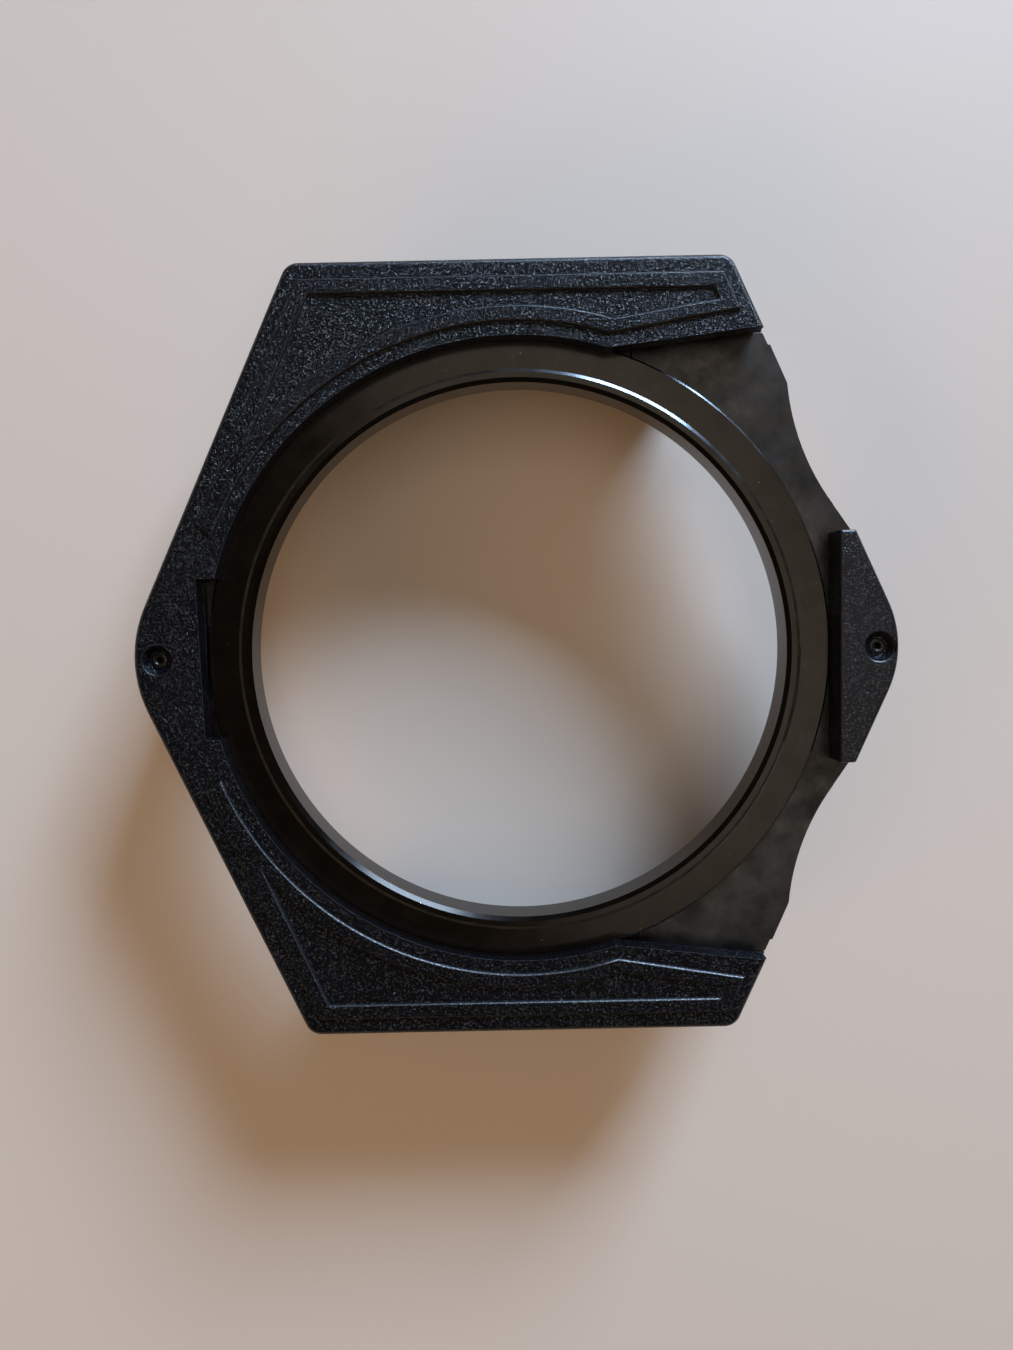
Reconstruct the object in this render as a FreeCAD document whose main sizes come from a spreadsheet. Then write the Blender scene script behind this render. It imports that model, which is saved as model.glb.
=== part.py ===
import FreeCAD, Part
import math
import os

import Sketcher

# Holder for square filters, with a lens adapter ring slid into its back.
#
# The optical axis is Z.  Z = 0 is the front of the two filter rails, where the holder rests, and
# +Z points to the lens.  +X points to the open side, where the adapter ring slides out past the
# sprung latch.  The holder is mirrored about the XZ plane.  Lengths are in millimetres.

SIZES = {
    # Stack of layers along the optical axis, from the front face of the rails.
    "rail_depth": 13.4,
    "base_depth": 4.2,
    "plate_thickness": 2.2,
    "frame_depth": 5.0,
    "channel_depth": 2.05,
    "loop_height": 0.45,
    # Outline: a hexagon with two straight sides and four slanted ones, measured from the axis.
    "half_height": 52.8,
    "slant": 24.7,
    "left_reach": 49.48,
    "right_reach": 48.6,
    "plate_right_reach": 49.9,
    "base_inset": 0.3,
    "corner_round": 2.4,
    "left_tip_round": 17.5,
    "right_tip_round": 14.7,
    "edge_round": 0.9,
    # Walls and ribs of the moulded base plate.
    "skirt_wall": 1.8,
    "tip_clearance": 1.0,
    "rib_thickness": 1.4,
    "rib_place": 27.5,
    "overlap": 0.5,
    # Light opening and the slot that takes the ring's flange.
    "opening_radius": 37.8,
    "collar_radius": 39.7,
    "lip_radius": 42.65,
    "channel_radius": 43.7,
    "mouth": 12.7,
    "arm_end": 43.2,
    "arm_relief": 0.1,
    "window_half": 11.0,
    "window_high_wall": 43.8,
    "window_low_wall": 43.2,
    "brake_pocket": 44.25,
    # Raised loop moulded on each arm of the rear frame.
    "loop_inset": 2.4,
    "loop_end_inset": 2.0,
    "loop_width": 2.1,
    "loop_radius": 44.4,
    "loop_left": 41.2,
    "loop_left_corner": 18.3,
    "loop_vertex": 12.85,
    "loop_tip": 45.4,
    "loop_inner_left": 35.4,
    "loop_inner_vertex": 13.5,
    "loop_inner_tip": 46.8,
    # Adapter ring for a 77 mm lens thread.
    "ring_radius": 43.4,
    "ring_bore": 36.55,
    "thread_radius": 38.3,
    "flange_thickness": 1.9,
    "flange_play": 0.05,
    "thread_length": 3.55,
    "ring_chamfer": 0.35,
    "rim_chamfer": 0.45,
    "bore_chamfer": 0.55,
    # Release wing, the flexing part of the base that carries the latch.
    "wing_root": 16.2,
    "wing_half": 43.6,
    "slit": 0.15,
    "wing_gap": 0.3,
    "wing_step": 42.0,
    "wing_shoulder": 35.6,
    "thumb_far_x": 37.85,
    "thumb_far_y": 36.95,
    "thumb_near_x": 44.4,
    "thumb_near_y": 19.7,
    "thumb_centre_x": 71.15,
    "thumb_centre_y": 39.6,
    "thumb_radius": 33.3,
    "wing_neck_x": 46.7,
    "wing_neck_y": 16.4,
    "wing_point": 53.5,
    "stiffener_inset": 3.0,
    "stiffener_width": 1.6,
    # Latch block that keeps the ring in.
    "latch_wall": 43.7,
    "latch_half": 15.9,
    "latch_corner": 45.9,
    "latch_point": 53.15,
    # Fasteners.
    "frame_rivet_place": 49.4,
    "latch_rivet_place": 49.1,
    "rivet_radius": 0.7,
    "rivet_bore": 0.35,
    "rivet_head": 1.15,
    "rivet_head_height": 0.35,
    "rivet_head_slope": 0.25,
    "dimple_radius": 2.1,
    "dimple_floor": 1.35,
    "dimple_depth": 1.3,
    "screw_radius": 1.0,
    "screw_head": 1.9,
    "screw_head_depth": 1.3,
    "screw_sunk": 0.1,
    "screw_slot": 0.5,
    "slot_overrun": 0.1,
    "screw_place_x": 21.0,
    "screw_place_y": 46.6,
    "screw_bite": 3.4,
    "boss_radius": 2.6,
    # Filter rails, each with three grooves for filters 84 mm wide and 2 mm thick.
    "rail_half_length": 26.5,
    "rail_lip": 40.9,
    "groove_floor": 42.3,
    "rail_outside": 49.8,
    "rail_relief": 41.9,
    "rib_width": 1.4,
    "groove_width": 2.2,
    "pocket_half": 12.0,
    "pocket_depth": 0.9,
    "pocket_start": 0.2,
    # Leaf springs: one in each groove of the upper rail and one against the ring.
    "leaf_half": 11.0,
    "leaf_thickness": 0.25,
    "leaf_width": 1.7,
    "leaf_crown": 0.4,
    "leaf_rest": 0.35,
    "brake_half": 10.6,
    "brake_thickness": 0.3,
    "brake_width": 1.7,
    "brake_crown": 43.52,
    "brake_end": 43.75,
}


class Size:
    """A length that carries both its value and the expression that gives it."""

    def __init__(self, value, text):
        self.value = value
        self.text = text

    def __add__(self, other):
        other = as_size(other)
        return Size(self.value + other.value, f"({self.text} + {other.text})")

    def __sub__(self, other):
        other = as_size(other)
        return Size(self.value - other.value, f"({self.text} - {other.text})")

    def __mul__(self, other):
        other = as_size(other)
        return Size(self.value * other.value, f"({self.text} * {other.text})")

    def __truediv__(self, other):
        other = as_size(other)
        return Size(self.value / other.value, f"({self.text} / {other.text})")

    def __neg__(self):
        return Size(-self.value, f"(-{self.text})")


def as_size(number):
    return number if isinstance(number, Size) else Size(float(number), f"{float(number)}")


def sine(angle):
    return Size(math.sin(math.radians(angle.value)), f"sin({angle.text})")


def cosine(angle):
    return Size(math.cos(math.radians(angle.value)), f"cos({angle.text})")


def across_circle(radius, x):
    """y of the point at x on a circle about the axis."""
    return Size(math.sqrt(radius.value**2 - x.value**2), f"sqrt({radius.text}^2 - {x.text}^2)")


def make_sheet(doc):
    """Put every driving dimension in the sheet and hand back a Size for each."""
    sheet = doc.addObject("Spreadsheet::Sheet", "Sizes")
    for row, (alias, value) in enumerate(SIZES.items(), start=1):
        sheet.set(f"A{row}", alias)
        sheet.set(f"B{row}", str(value))
        sheet.setAlias(f"B{row}", alias)
    doc.recompute()
    return {alias: Size(value, f"Sizes.{alias}") for alias, value in SIZES.items()}


# How near two places or two levels must be to count as the same one.
SAME_PLACE = 0.01
SAME_LEVEL = 1e-4
# Width of the band along the outline in which an edge counts as part of the outer rim.
RIM_BAND = 0.8
GROOVES = 3

doc = FreeCAD.newDocument("filter_holder")
size = make_sheet(doc)
ZERO = as_size(0)

BASE_TOP = size["rail_depth"] + size["base_depth"]
FRAME_TOP = BASE_TOP + size["frame_depth"]
PLATE_UNDER = BASE_TOP - size["plate_thickness"]


# ---- Building blocks -------------------------------------------------------------------------


def bind(item, name, amount):
    item.setExpression(name, amount.text)


def new_body(label):
    body = doc.addObject("PartDesign::Body", label)
    body.Label = label
    return body


def new_sketch(body, role, offset=ZERO):
    """A sketch on one of the body's own origin planes, moved along the plane's normal."""
    plane = [item for item in body.Origin.OriginFeatures if item.Role == role][0]
    sketch = body.newObject("Sketcher::SketchObject", f"{body.Label}_sketch")
    sketch.AttachmentSupport = (plane, "")
    sketch.MapMode = "FlatFace"
    bind(sketch, "AttachmentOffset.Base.z", offset)
    return sketch


def pin_point(sketch, item, point, x, y=None):
    """Hold one point of the sketch at x, and at y if it is given."""
    for kind, place in (("DistanceX", x), ("DistanceY", y)):
        if place is not None:
            rule = Sketcher.Constraint(kind, -1, 1, item, point, place.value)
            bind(sketch, f"Constraints[{sketch.addConstraint(rule)}]", place)


def polygon(sketch, corners):
    """A closed run of straight sides through corners, which are pairs of sizes."""
    first = sketch.GeometryCount
    places = [FreeCAD.Vector(x.value, y.value, 0) for x, y in corners]
    count = len(places)
    for i in range(count):
        sketch.addGeometry(Part.LineSegment(places[i], places[(i + 1) % count]), False)
    for i, (x, y) in enumerate(corners):
        following = first + (i + 1) % count
        sketch.addConstraint(Sketcher.Constraint("Coincident", first + i, 2, following, 1))
        pin_point(sketch, first + i, 1, x, y)


def circle(sketch, x, y, radius):
    centre = FreeCAD.Vector(x.value, y.value, 0)
    item = sketch.addGeometry(Part.Circle(centre, FreeCAD.Vector(0, 0, 1), radius.value), False)
    pin_point(sketch, item, 3, x, y)
    index = sketch.addConstraint(Sketcher.Constraint("Radius", item, radius.value))
    bind(sketch, f"Constraints[{index}]", radius)


def arc_loop(sketch, radius, arc_from, arc_to, corners):
    """A closed outline: an arc about the axis from x = arc_from to x = arc_to, then corners."""
    ends = []
    for x in (arc_from, arc_to):
        ends.append(FreeCAD.Vector(x.value, math.sqrt(radius.value**2 - x.value**2), 0))
    angles = [math.atan2(end.y, end.x) for end in ends]
    whole = Part.Circle(FreeCAD.Vector(0, 0, 0), FreeCAD.Vector(0, 0, 1), radius.value)
    arc = sketch.addGeometry(Part.ArcOfCircle(whole, angles[1], angles[0]), False)
    sketch.addConstraint(Sketcher.Constraint("Coincident", arc, 3, -1, 1))
    index = sketch.addConstraint(Sketcher.Constraint("Radius", arc, radius.value))
    bind(sketch, f"Constraints[{index}]", radius)
    pin_point(sketch, arc, 1, arc_to)
    pin_point(sketch, arc, 2, arc_from)
    places = [ends[1]] + [FreeCAD.Vector(x.value, y.value, 0) for x, y in corners] + [ends[0]]
    lines = []
    for start, end in zip(places, places[1:]):
        lines.append(sketch.addGeometry(Part.LineSegment(start, end), False))
    sketch.addConstraint(Sketcher.Constraint("Coincident", lines[0], 1, arc, 1))
    sketch.addConstraint(Sketcher.Constraint("Coincident", lines[-1], 2, arc, 2))
    for before, after, (x, y) in zip(lines, lines[1:], corners):
        sketch.addConstraint(Sketcher.Constraint("Coincident", before, 2, after, 1))
        pin_point(sketch, after, 1, x, y)


def volume_of(body):
    return body.Shape.Volume if body.Tip and not body.Shape.isNull() else 0.0


def add_feature(body, kind, sketch, length, backwards=False):
    """Pad or Pocket a sketch, and make sure that it changed the body the right way."""
    before = volume_of(body)
    feature = body.newObject(f"PartDesign::{kind}", f"{body.Label}_{kind.lower()}")
    feature.Profile = sketch
    feature.Reversed = backwards
    bind(feature, "Length", length)
    body.Tip = feature
    doc.recompute()
    grew = volume_of(body) > before
    if grew != (kind == "Pad"):
        raise RuntimeError(f"{feature.Label} of {body.Label} missed the solid")
    return feature


def pad_polygon(body, corners, bottom, top):
    sketch = new_sketch(body, "XY_Plane", bottom)
    polygon(sketch, corners)
    return add_feature(body, "Pad", sketch, top - bottom)


def cut_polygon(body, corners, bottom, top):
    sketch = new_sketch(body, "XY_Plane", top)
    polygon(sketch, corners)
    return add_feature(body, "Pocket", sketch, top - bottom)


def cut_circles(body, centres, radius, bottom, top):
    sketch = new_sketch(body, "XY_Plane", top)
    for x, y in centres:
        circle(sketch, x, y, radius)
    return add_feature(body, "Pocket", sketch, top - bottom)


def pad_circles(body, centres, radius, bottom, top):
    sketch = new_sketch(body, "XY_Plane", bottom)
    for x, y in centres:
        circle(sketch, x, y, radius)
    return add_feature(body, "Pad", sketch, top - bottom)


def revolve(body, corners, x=ZERO):
    """Turn a profile of (distance from the axis, height) pairs about a vertical axis at x."""
    sketch = new_sketch(body, "XZ_Plane")
    polygon(sketch, corners)
    feature = body.newObject("PartDesign::Revolution", f"{body.Label}_revolution")
    feature.Profile = sketch
    feature.ReferenceAxis = (sketch, ["V_Axis"])
    feature.Angle = 360.0
    body.Tip = feature
    bind(body, "Placement.Base.x", x)
    doc.recompute()
    return feature


def upright_edges(body, places):
    """Names of the edges parallel to Z that stand at the given places."""
    names = []
    for number, edge in enumerate(body.Shape.Edges, start=1):
        ends = [vertex.Point for vertex in edge.Vertexes]
        if len(ends) != 2 or math.dist(ends[0][:2], ends[1][:2]) > SAME_LEVEL:
            continue
        for x, y in places:
            if math.dist(ends[0][:2], (x.value, y.value)) < SAME_PLACE:
                names.append(f"Edge{number}")
    return names


def rim_edges(body, height):
    """Names of the edges round the outside of the largest flat face at a height."""
    level = [
        face
        for face in body.Shape.Faces
        if max(abs(end - height.value) for end in (face.BoundBox.ZMin, face.BoundBox.ZMax)) < SAME_LEVEL
    ]
    rim = max(level, key=lambda face: face.Area).OuterWire.Edges
    names = []
    for number, edge in enumerate(body.Shape.Edges, start=1):
        if any(edge.isSame(other) for other in rim):
            names.append(f"Edge{number}")
    return names


def round_edges(body, names, radius):
    base = body.Tip
    feature = body.newObject("PartDesign::Fillet", f"{body.Label}_fillet")
    feature.Base = (base, names)
    bind(feature, "Radius", radius)
    body.Tip = feature
    doc.recompute()
    if "Invalid" in feature.State:
        raise RuntimeError(f"{feature.Label} of {body.Label} failed on {names}")
    return feature


def mirrored(corners):
    """The corners, then the same ones below the XZ plane in the opposite order."""
    return corners + [(x, -y) for x, y in reversed(corners)]


def on_left_side(y, inset=ZERO):
    """x of the left slanted side at height y."""
    return -((size["left_reach"] - inset - y * sine(size["slant"])) / cosine(size["slant"]))


def on_right_side(y, inset=ZERO):
    """x of the frame's right slanted side at height y."""
    return (size["right_reach"] - inset - y * sine(size["slant"])) / cosine(size["slant"])


def on_plate_side(y):
    """x of the base plate's right slanted side at height y."""
    reach = size["plate_right_reach"] - size["base_inset"]
    return (reach - y * sine(size["slant"])) / cosine(size["slant"])


def all_four(x, y):
    return [(x, y), (-x, y), (x, -y), (-x, -y)]


# ---- Front half: base plate and release wing ---------------------------------------------------


def make_base_plate():
    """Moulded plate round the light opening, with a collar, a skirt and four screw bosses."""
    body = new_body("base_plate")
    side = size["half_height"] - size["base_inset"]
    left_tip = (on_left_side(ZERO, size["base_inset"]), ZERO)
    left_corner = (on_left_side(side, size["base_inset"]), side)
    right_corner = (on_plate_side(side), side)
    arm_foot = size["wing_half"] + size["slit"]
    arm_corner = (on_plate_side(arm_foot), arm_foot)
    upper = [left_corner, right_corner, arm_corner, (size["wing_root"], arm_foot)]
    pad_polygon(body, [left_tip] + mirrored(upper), size["rail_depth"], BASE_TOP)
    round_edges(body, upright_edges(body, [left_tip]), size["left_tip_round"])
    outer = [left_corner, right_corner, (left_corner[0], -side), (right_corner[0], -side)]
    round_edges(body, upright_edges(body, outer), size["corner_round"])
    hollow_base_plate(body)
    return body


def hollow_base_plate(body):
    """Core out the underside, then add the collar, the screw bosses and the stiffening ribs."""
    wall = size["base_inset"] + size["skirt_wall"]
    side = size["half_height"] - wall
    inner_foot = size["wing_root"] - size["skirt_wall"]
    tip = (on_left_side(ZERO, wall) + size["tip_clearance"], ZERO)
    hollow = [(on_left_side(side, wall), side), (inner_foot, side)]
    cut_polygon(body, [tip] + mirrored(hollow), size["rail_depth"], PLATE_UNDER)
    for x in (ZERO, -size["rib_place"]):
        near = x + size["rib_thickness"] / 2
        far = x - size["rib_thickness"] / 2
        end = side + size["overlap"]
        pad_polygon(body, mirrored([(near, end), (far, end)]), size["rail_depth"], PLATE_UNDER)
    pad_circles(body, [(ZERO, ZERO)], size["collar_radius"], size["rail_depth"], BASE_TOP)
    bosses = all_four(size["screw_place_x"], size["screw_place_y"])
    pad_circles(body, bosses, size["boss_radius"], size["rail_depth"], PLATE_UNDER)
    rivet = [(-size["frame_rivet_place"], ZERO)]
    pad_circles(body, rivet, size["boss_radius"], size["rail_depth"], PLATE_UNDER)
    cut_circles(body, [(ZERO, ZERO)], size["opening_radius"], size["rail_depth"], BASE_TOP)
    cut_circles(body, bosses, size["screw_radius"], size["rail_depth"], BASE_TOP)
    cut_circles(body, rivet, size["rivet_radius"], size["rail_depth"], BASE_TOP)


def make_release_wing():
    """Thin plate beside the opening that flexes forward from its two root strips."""
    body = new_body("release_wing")
    point = (size["wing_point"], ZERO)
    upper = [
        (size["wing_root"] + size["slit"], size["wing_half"]),
        (on_plate_side(size["wing_half"]), size["wing_half"]),
        (on_plate_side(size["wing_step"]), size["wing_step"]),
        (size["wing_shoulder"], size["wing_step"]),
        (size["thumb_far_x"], size["thumb_far_y"]),
        (size["thumb_near_x"], size["thumb_near_y"]),
        (size["wing_neck_x"], size["wing_neck_y"]),
    ]
    lower = [(x, -y) for x, y in reversed(upper)]
    pad_polygon(body, upper + [point] + lower, PLATE_UNDER, BASE_TOP)
    round_edges(body, upright_edges(body, [point]), size["right_tip_round"])
    end = size["latch_half"] - size["stiffener_inset"]
    stiffener = [(size["latch_wall"], end), (size["latch_wall"] + size["stiffener_width"], end)]
    pad_polygon(body, mirrored(stiffener), size["rail_depth"], PLATE_UNDER)
    hollows = mirrored([(size["thumb_centre_x"], size["thumb_centre_y"])])
    cut_circles(body, hollows, size["thumb_radius"], PLATE_UNDER, BASE_TOP)
    cut_circles(body, [(ZERO, ZERO)], size["collar_radius"] + size["wing_gap"], PLATE_UNDER, BASE_TOP)
    rivet = [(size["latch_rivet_place"], ZERO)]
    cut_circles(body, rivet, size["rivet_radius"], size["rail_depth"], BASE_TOP)
    return body


# ---- Back half: rear frame, latch block and adapter ring ---------------------------------------


def make_rear_frame():
    """C-shaped moulding whose overhanging lip holds the ring's flange down on the base plate."""
    body = new_body("rear_frame")
    side = size["half_height"]
    left_tip = (on_left_side(ZERO), ZERO)
    left_corner = (on_left_side(side), side)
    right_corner = (on_right_side(side), side)
    arm_corner = (on_right_side(size["arm_end"]), size["arm_end"])
    mouth_corner = (size["mouth"], across_circle(size["lip_radius"], size["mouth"]))
    upper = [left_corner, right_corner, arm_corner, mouth_corner]
    pad_polygon(body, [left_tip] + mirrored(upper), BASE_TOP, FRAME_TOP)
    round_edges(body, upright_edges(body, [left_tip]), size["left_tip_round"])
    outer = [left_corner, right_corner, (left_corner[0], -side), (right_corner[0], -side)]
    round_edges(body, upright_edges(body, outer), size["corner_round"])
    cut_circles(body, [(ZERO, ZERO)], size["lip_radius"], BASE_TOP, FRAME_TOP)
    channel_top = BASE_TOP + size["channel_depth"]
    cut_circles(body, [(ZERO, ZERO)], size["channel_radius"], BASE_TOP, channel_top)
    run_out = [(ZERO, size["channel_radius"]), (size["wing_point"], size["channel_radius"])]
    cut_polygon(body, mirrored(run_out), BASE_TOP, channel_top)
    free_edge = size["wing_half"] + size["slit"]
    relief = [(size["wing_root"], free_edge), (size["wing_point"], free_edge)]
    cut_polygon(body, mirrored(relief), BASE_TOP, BASE_TOP + size["arm_relief"])
    cut_window(body, channel_top)
    round_edges(body, outer_rim(body, FRAME_TOP), size["edge_round"])
    add_loops(body)
    add_dimple(body, -size["frame_rivet_place"])
    screws = all_four(size["screw_place_x"], size["screw_place_y"])
    cut_circles(body, screws, size["screw_radius"], BASE_TOP, BASE_TOP + size["screw_bite"])
    return body


def cut_window(body, channel_top):
    """Window that bares the ring's milled edge, over a pocket for the spring that brakes it."""
    window = [
        (-size["window_high_wall"], size["window_half"]),
        (-size["collar_radius"], size["window_half"]),
        (-size["collar_radius"], -size["window_half"]),
        (-size["window_low_wall"], -size["window_half"]),
    ]
    cut_polygon(body, window, channel_top, FRAME_TOP)
    pocket = [
        (-size["brake_pocket"], size["window_half"]),
        (-size["collar_radius"], size["window_half"]),
    ]
    cut_polygon(body, mirrored(pocket), BASE_TOP, channel_top)


def outer_rim(body, height):
    """The rim edges that lie on the hexagon, without the lip, the window and the arm ends."""
    names = []
    for name in rim_edges(body, height):
        middle = body.Shape.getElement(name).CenterOfMass
        reach = abs(middle.y) * sine(size["slant"]).value + abs(middle.x) * cosine(size["slant"]).value
        on_slant = reach > size["right_reach"].value - RIM_BAND
        if on_slant or abs(middle.y) > size["half_height"].value - RIM_BAND:
            names.append(name)
    return names


def add_loops(body):
    """One raised closed loop on each arm, following its edges and the round lip."""
    for sign in (1, -1):
        sketch = new_sketch(body, "XY_Plane", FRAME_TOP)
        outer_y = size["half_height"] - size["loop_inset"]
        inner_y = outer_y - size["loop_width"]
        inner_inset = size["loop_inset"] + size["loop_width"]
        arc_loop(
            sketch,
            size["loop_radius"],
            -size["loop_left"],
            size["loop_vertex"],
            [
                (on_right_side(size["loop_tip"], size["loop_end_inset"]), size["loop_tip"]),
                (on_right_side(outer_y, size["loop_end_inset"]), outer_y),
                (on_left_side(outer_y, size["loop_inset"]), outer_y),
                (on_left_side(size["loop_left_corner"], size["loop_inset"]), size["loop_left_corner"]),
            ],
        )
        end_inset = size["loop_end_inset"] + size["loop_width"]
        arc_loop(
            sketch,
            size["loop_radius"] + size["loop_width"],
            -size["loop_inner_left"],
            size["loop_inner_vertex"],
            [
                (on_right_side(size["loop_inner_tip"], end_inset), size["loop_inner_tip"]),
                (on_right_side(inner_y, end_inset), inner_y),
                (on_left_side(inner_y, inner_inset), inner_y),
            ],
        )
        if sign < 0:
            turn = FreeCAD.Rotation(FreeCAD.Vector(1, 0, 0), 180)
            sketch.AttachmentOffset = FreeCAD.Placement(sketch.AttachmentOffset.Base, turn)
        add_feature(body, "Pad", sketch, size["loop_height"], backwards=sign < 0)


def add_dimple(body, x):
    """Round dimple for a rivet head, with the rivet's hole below it."""
    cut_circles(body, [(x, ZERO)], size["rivet_radius"], BASE_TOP, FRAME_TOP)
    cone = body.newObject("PartDesign::SubtractiveCone", f"{body.Label}_dimple")
    bind(cone, "Radius1", size["dimple_floor"])
    bind(cone, "Radius2", size["dimple_radius"])
    bind(cone, "Height", size["dimple_depth"])
    plane = [item for item in body.Origin.OriginFeatures if item.Role == "XY_Plane"][0]
    cone.AttachmentSupport = (plane, "")
    cone.MapMode = "FlatFace"
    bind(cone, "AttachmentOffset.Base.x", x)
    bind(cone, "AttachmentOffset.Base.z", FRAME_TOP - size["dimple_depth"])
    body.Tip = cone
    doc.recompute()


def make_latch_block():
    """Raised block on the tip of the wing; its straight wall stands behind the ring's flange."""
    body = new_body("latch_block")
    point = (size["latch_point"], ZERO)
    near = [(size["latch_wall"], size["latch_half"]), (size["latch_corner"], size["latch_half"])]
    lower = [(x, -y) for x, y in reversed(near)]
    pad_polygon(body, near + [point] + lower, BASE_TOP, FRAME_TOP)
    round_edges(body, upright_edges(body, [point]), size["right_tip_round"])
    round_edges(body, rim_edges(body, FRAME_TOP), size["edge_round"] / 2)
    add_dimple(body, size["latch_rivet_place"])
    return body


def make_adapter_ring():
    """Turned aluminium ring: a flange for the holder and a spigot with the lens thread."""
    body = new_body("adapter_ring")
    under = BASE_TOP + size["flange_play"]
    face = under + size["flange_thickness"]
    rim = face + size["thread_length"]
    cut = size["ring_chamfer"]
    revolve(
        body,
        [
            (size["ring_bore"], under),
            (size["ring_radius"] - cut, under),
            (size["ring_radius"], under + cut),
            (size["ring_radius"], face - cut),
            (size["ring_radius"] - cut, face),
            (size["thread_radius"], face),
            (size["thread_radius"], rim - size["rim_chamfer"]),
            (size["thread_radius"] - size["rim_chamfer"], rim),
            (size["ring_bore"] + size["bore_chamfer"], rim),
            (size["ring_bore"], rim - size["bore_chamfer"]),
        ],
    )
    return body


# ---- Filter rails --------------------------------------------------------------------------------


def make_rail(label, side):
    """Comb-shaped rail with three filter grooves; side is +1 above the axis and -1 below."""
    body = new_body(label)
    sketch = new_sketch(body, "YZ_Plane", -size["rail_half_length"])
    lip = size["rail_lip"] * side
    floor = size["groove_floor"] * side
    outside = size["rail_outside"] * side
    corners = [(outside, ZERO), (lip, ZERO)]
    for slot in range(GROOVES):
        low = size["rib_width"] + (size["rib_width"] + size["groove_width"]) * slot
        high = low + size["groove_width"]
        corners += [(lip, low), (floor, low), (floor, high), (lip, high)]
    corners += [(lip, size["rail_depth"]), (outside, size["rail_depth"])]
    polygon(sketch, corners)
    add_feature(body, "Pad", sketch, size["rail_half_length"] * 2)
    cut_circles(body, [(ZERO, ZERO)], size["rail_relief"], ZERO, size["rail_depth"])
    ends = [(size["rail_half_length"], outside), (-size["rail_half_length"], outside)]
    round_edges(body, upright_edges(body, ends), size["corner_round"])
    y = size["screw_place_y"] * side
    holes = [(size["screw_place_x"], y), (-size["screw_place_x"], y)]
    cut_circles(body, holes, size["screw_radius"], ZERO, size["rail_depth"])
    cut_circles(body, holes, size["screw_head"], ZERO, size["screw_head_depth"])
    return body


def cut_leaf_pockets(body):
    """Shallow pockets in the groove floors that leave room for the leaf springs to flatten."""
    for slot in range(GROOVES):
        low = size["rib_width"] + (size["rib_width"] + size["groove_width"]) * slot
        depth = size["groove_floor"] + size["pocket_depth"]
        start = size["groove_floor"] - size["pocket_start"]
        half = size["pocket_half"]
        corners = [(-half, start), (half, start), (half, depth), (-half, depth)]
        cut_polygon(body, corners, low, low + size["groove_width"])


def make_leaf_spring(slot):
    """Bowed strip of spring steel that presses a filter against the other rail."""
    body = new_body(f"filter_spring_{slot + 1}")
    low = size["rib_width"] + (size["rib_width"] + size["groove_width"]) * slot
    middle = low + (size["groove_width"] - size["leaf_width"]) / 2
    back = size["groove_floor"] + size["leaf_rest"]
    front = size["groove_floor"] - size["leaf_crown"]
    thick = size["leaf_thickness"]
    half = size["leaf_half"]
    inner = [(half, back), (half / 3, front), (-half / 3, front), (-half, back)]
    outer = [(x, y + thick) for x, y in reversed(inner)]
    pad_polygon(body, inner + outer, middle, middle + size["leaf_width"])
    return body


def make_brake_spring():
    """Leaf in the window of the rear frame that rubs on the milled edge of the ring's flange."""
    body = new_body("ring_brake_spring")
    low = BASE_TOP + size["flange_play"] * 2
    half = size["brake_half"]
    near = mirrored([(-size["brake_end"], half), (-size["brake_crown"], half / 3)])
    far = [(x - size["brake_thickness"], y) for x, y in reversed(near)]
    pad_polygon(body, near + far, low, low + size["brake_width"])
    return body


# ---- Fasteners -----------------------------------------------------------------------------------


def make_rivet(label, x, low):
    """Tubular rivet from the height low: a hollow shank with a flared head in the dimple."""
    body = new_body(label)
    head = FRAME_TOP - size["dimple_depth"]
    top = head + size["rivet_head_height"]
    revolve(
        body,
        [
            (size["rivet_bore"], low),
            (size["rivet_radius"], low),
            (size["rivet_radius"], head),
            (size["rivet_head"], head),
            (size["rivet_head"] - size["rivet_head_slope"], top),
            (size["rivet_bore"], top),
        ],
        x,
    )
    return body


def new_part(kind, name, lengths, x, y):
    """A Part primitive on the level of the screw heads, bound to the sheet."""
    item = doc.addObject(f"Part::{kind}", name)
    for dimension, length in lengths.items():
        bind(item, dimension, length)
    bind(item, "Placement.Base.x", x)
    bind(item, "Placement.Base.y", y)
    bind(item, "Placement.Base.z", size["screw_sunk"])
    return item


def make_screw(name, x, y):
    """Cheese-head screw, head down in the rail's counterbore, with a slot for the driver."""
    head_height = size["screw_head_depth"] - size["screw_sunk"]
    length = BASE_TOP + size["screw_bite"] - size["screw_sunk"]
    radius = size["screw_head"] - size["screw_sunk"]
    reach = radius + size["slot_overrun"]
    wide = size["screw_slot"]
    shank_lengths = {"Radius": size["screw_radius"], "Height": length}
    shank = new_part("Cylinder", f"{name}_shank", shank_lengths, x, y)
    head_lengths = {"Radius": radius, "Height": head_height}
    head = new_part("Cylinder", f"{name}_head", head_lengths, x, y)
    slot_lengths = {"Length": reach * 2, "Width": wide, "Height": wide}
    slot = new_part("Box", f"{name}_slot", slot_lengths, x - reach, y - wide / 2)
    whole = doc.addObject("Part::Fuse", f"{name}_whole")
    whole.Base = shank
    whole.Tool = head
    screw = doc.addObject("Part::Cut", name)
    screw.Base = whole
    screw.Tool = slot
    return screw


def make_rail_screws(label, side):
    """The two screws that clamp a rail and the base plate to the rear frame."""
    y = size["screw_place_y"] * side
    right = make_screw(f"{label}_right", size["screw_place_x"], y)
    left = make_screw(f"{label}_left", -size["screw_place_x"], y)
    pair = doc.addObject("Part::Compound", label)
    pair.Label = label
    pair.Links = [right, left]
    return pair


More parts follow.
